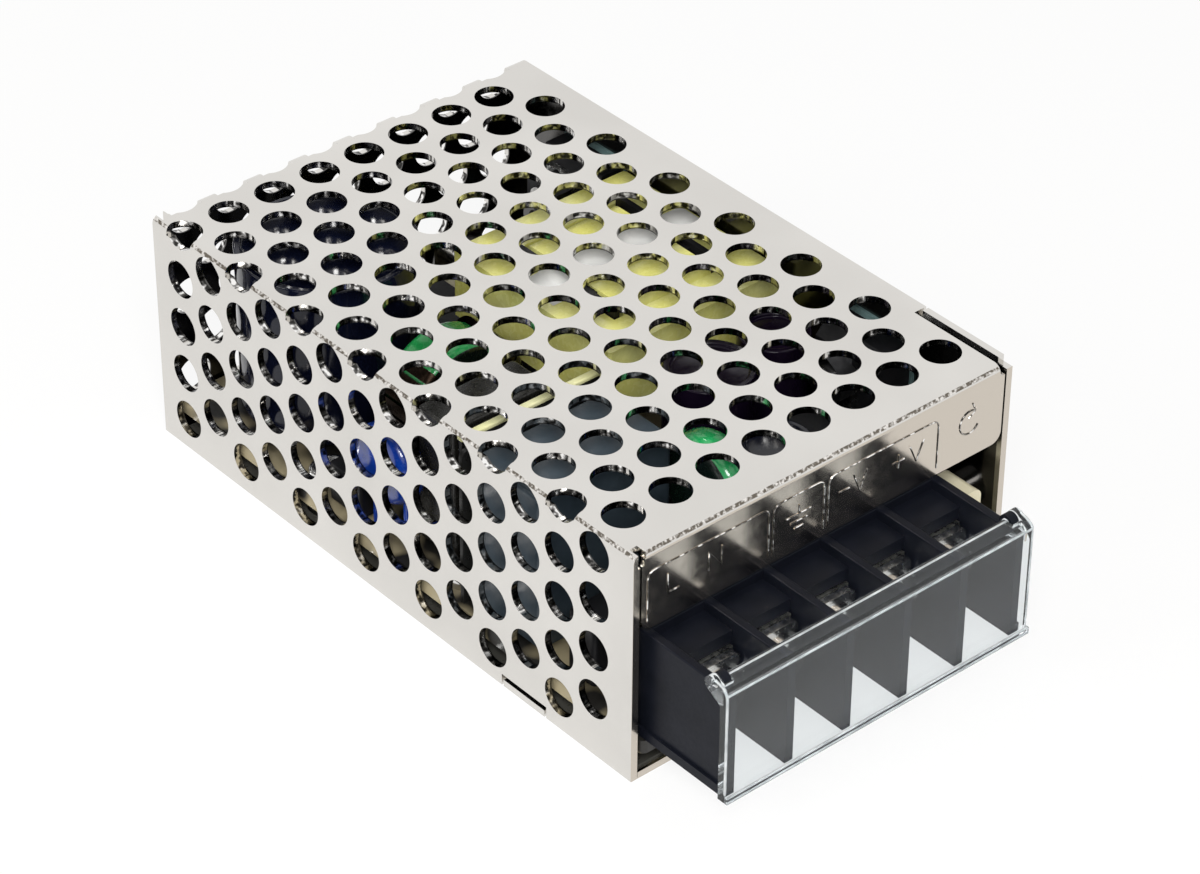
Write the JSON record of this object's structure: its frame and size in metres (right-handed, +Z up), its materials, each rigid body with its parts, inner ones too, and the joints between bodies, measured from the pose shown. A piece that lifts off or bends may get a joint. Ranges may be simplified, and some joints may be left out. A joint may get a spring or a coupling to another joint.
{
  "type": "enclosed switching power supply",
  "caption": "Small switching power supply in a perforated sheet-metal case, with a row of screw terminals under a hinged clear cover and a trimming potentiometer.",
  "frame": {"origin": "middle of the underside of the case's base plate, left to right and front flange to back", "axes": "+Z up from the base, +Y from the terminals to the back, +X from the perforated side wall to the plain one"},
  "size_m": [0.051, 0.0906, 0.028],
  "materials": {
    "metal": "brushed",
    "steel": "plated",
    "screw_metal": "polished",
    "black_plastic": "satin",
    "clear_plastic": "clear",
    "cream_plastic": "satin",
    "board": "satin",
    "film": "satin",
    "tinned": "satin",
    "ferrite": "matte",
    "green_core": "satin",
    "copper": "enamelled",
    "yellow_tape": "satin",
    "blue_epoxy": "glossy",
    "green_epoxy": "matte",
    "blue_box": "satin",
    "brown_box": "satin",
    "navy_sleeve": "glossy",
    "purple_sleeve": "glossy",
    "silver_can": "satin",
    "teal_pad": "matte",
    "pale_barrier": "satin"
  },
  "bodies": {
    "case": {"mesh_cover": "metal", "base_chassis": "metal", "cover_screws": "screw_metal", "insulating_sheet": "film", "board_standoffs": "tinned", "board_screws": "screw_metal", "circuit_board": "board", "terminal_block": "black_plastic", "terminal_contacts": "tinned", "trimmer_body": "cream_plastic", "transformer_core": "ferrite", "transformer_bobbin": "black_plastic", "transformer_winding": "yellow_tape", "transformer_tape": "yellow_tape", "bulk_capacitor": "navy_sleeve", "output_capacitor_1": "purple_sleeve", "output_capacitor_2": "silver_can", "output_capacitor_3": "navy_sleeve", "supply_capacitor": "navy_sleeve", "line_capacitor": "blue_box", "filter_capacitor": "brown_box", "line_fuse": "black_plastic", "bridge_rectifier": "black_plastic", "surge_suppressor": "blue_epoxy", "inrush_limiter": "green_epoxy", "safety_capacitor": "blue_epoxy", "choke_core": "green_core", "choke_windings": "copper", "choke_saddle": "black_plastic", "output_choke": "green_epoxy", "output_rectifier": "black_plastic", "switching_transistor": "black_plastic", "insulating_pads": "teal_pad", "clamp_bars": "steel", "clamp_nuts": "screw_metal", "clamp_screws": "screw_metal", "control_chip": "black_plastic", "optocoupler": "black_plastic", "resistors": "cream_plastic", "diodes": "black_plastic", "insulating_wall": "pale_barrier"},
    "lid": {"terminal_cover": "clear_plastic"},
    "knob": {"trimmer_knob": "cream_plastic"},
    "clamp_1": {"clamp_plate_1": "tinned"},
    "screw_1": {"terminal_screw_1": "screw_metal"},
    "clamp_2": {"clamp_plate_2": "tinned"},
    "screw_2": {"terminal_screw_2": "screw_metal"},
    "clamp_3": {"clamp_plate_3": "tinned"},
    "screw_3": {"terminal_screw_3": "screw_metal"},
    "clamp_4": {"clamp_plate_4": "tinned"},
    "screw_4": {"terminal_screw_4": "screw_metal"},
    "clamp_5": {"clamp_plate_5": "tinned"},
    "screw_5": {"terminal_screw_5": "screw_metal"}
  },
  "joints": [
    {"name": "terminal_cover_hinge", "type": "hinge", "parent": "case", "child": "lid", "pos_m": [0, -0.049, 0.01805], "axis": [-1, 0, 0], "range_deg": [0, 105]},
    {"name": "trimmer_turn", "type": "hinge", "parent": "case", "child": "knob", "pos_m": [0.02, -0.0405, 0.0106], "axis": [0, -1, 0], "range_deg": [-135, 135]},
    {"name": "clamp_1_slide", "type": "slide", "parent": "case", "child": "clamp_1", "axis": [0, -1, 0], "range_m": [0, 0.002]},
    {"name": "screw_1_turn", "type": "hinge", "parent": "clamp_1", "child": "screw_1", "pos_m": [-0.01912, -0.0459, 0.012], "axis": [0, -1, 0], "range_deg": [0, 1440]},
    {"name": "clamp_2_slide", "type": "slide", "parent": "case", "child": "clamp_2", "axis": [0, -1, 0], "range_m": [0, 0.002]},
    {"name": "screw_2_turn", "type": "hinge", "parent": "clamp_2", "child": "screw_2", "pos_m": [-0.01137, -0.0459, 0.012], "axis": [0, -1, 0], "range_deg": [0, 1440]},
    {"name": "clamp_3_slide", "type": "slide", "parent": "case", "child": "clamp_3", "axis": [0, -1, 0], "range_m": [0, 0.002]},
    {"name": "screw_3_turn", "type": "hinge", "parent": "clamp_3", "child": "screw_3", "pos_m": [-0.00363, -0.0459, 0.012], "axis": [0, -1, 0], "range_deg": [0, 1440]},
    {"name": "clamp_4_slide", "type": "slide", "parent": "case", "child": "clamp_4", "axis": [0, -1, 0], "range_m": [0, 0.002]},
    {"name": "screw_4_turn", "type": "hinge", "parent": "clamp_4", "child": "screw_4", "pos_m": [0.00413, -0.0459, 0.012], "axis": [0, -1, 0], "range_deg": [0, 1440]},
    {"name": "clamp_5_slide", "type": "slide", "parent": "case", "child": "clamp_5", "axis": [0, -1, 0], "range_m": [0, 0.002]},
    {"name": "screw_5_turn", "type": "hinge", "parent": "clamp_5", "child": "screw_5", "pos_m": [0.01188, -0.0459, 0.012], "axis": [0, -1, 0], "range_deg": [0, 1440]}
  ],
  "couplings": [
    {"joint": "screw_1_turn", "follows": "clamp_1_slide", "rad_per_m": 12566},
    {"joint": "screw_2_turn", "follows": "clamp_2_slide", "rad_per_m": 12566},
    {"joint": "screw_3_turn", "follows": "clamp_3_slide", "rad_per_m": 12566},
    {"joint": "screw_4_turn", "follows": "clamp_4_slide", "rad_per_m": 12566},
    {"joint": "screw_5_turn", "follows": "clamp_5_slide", "rad_per_m": 12566}
  ]
}
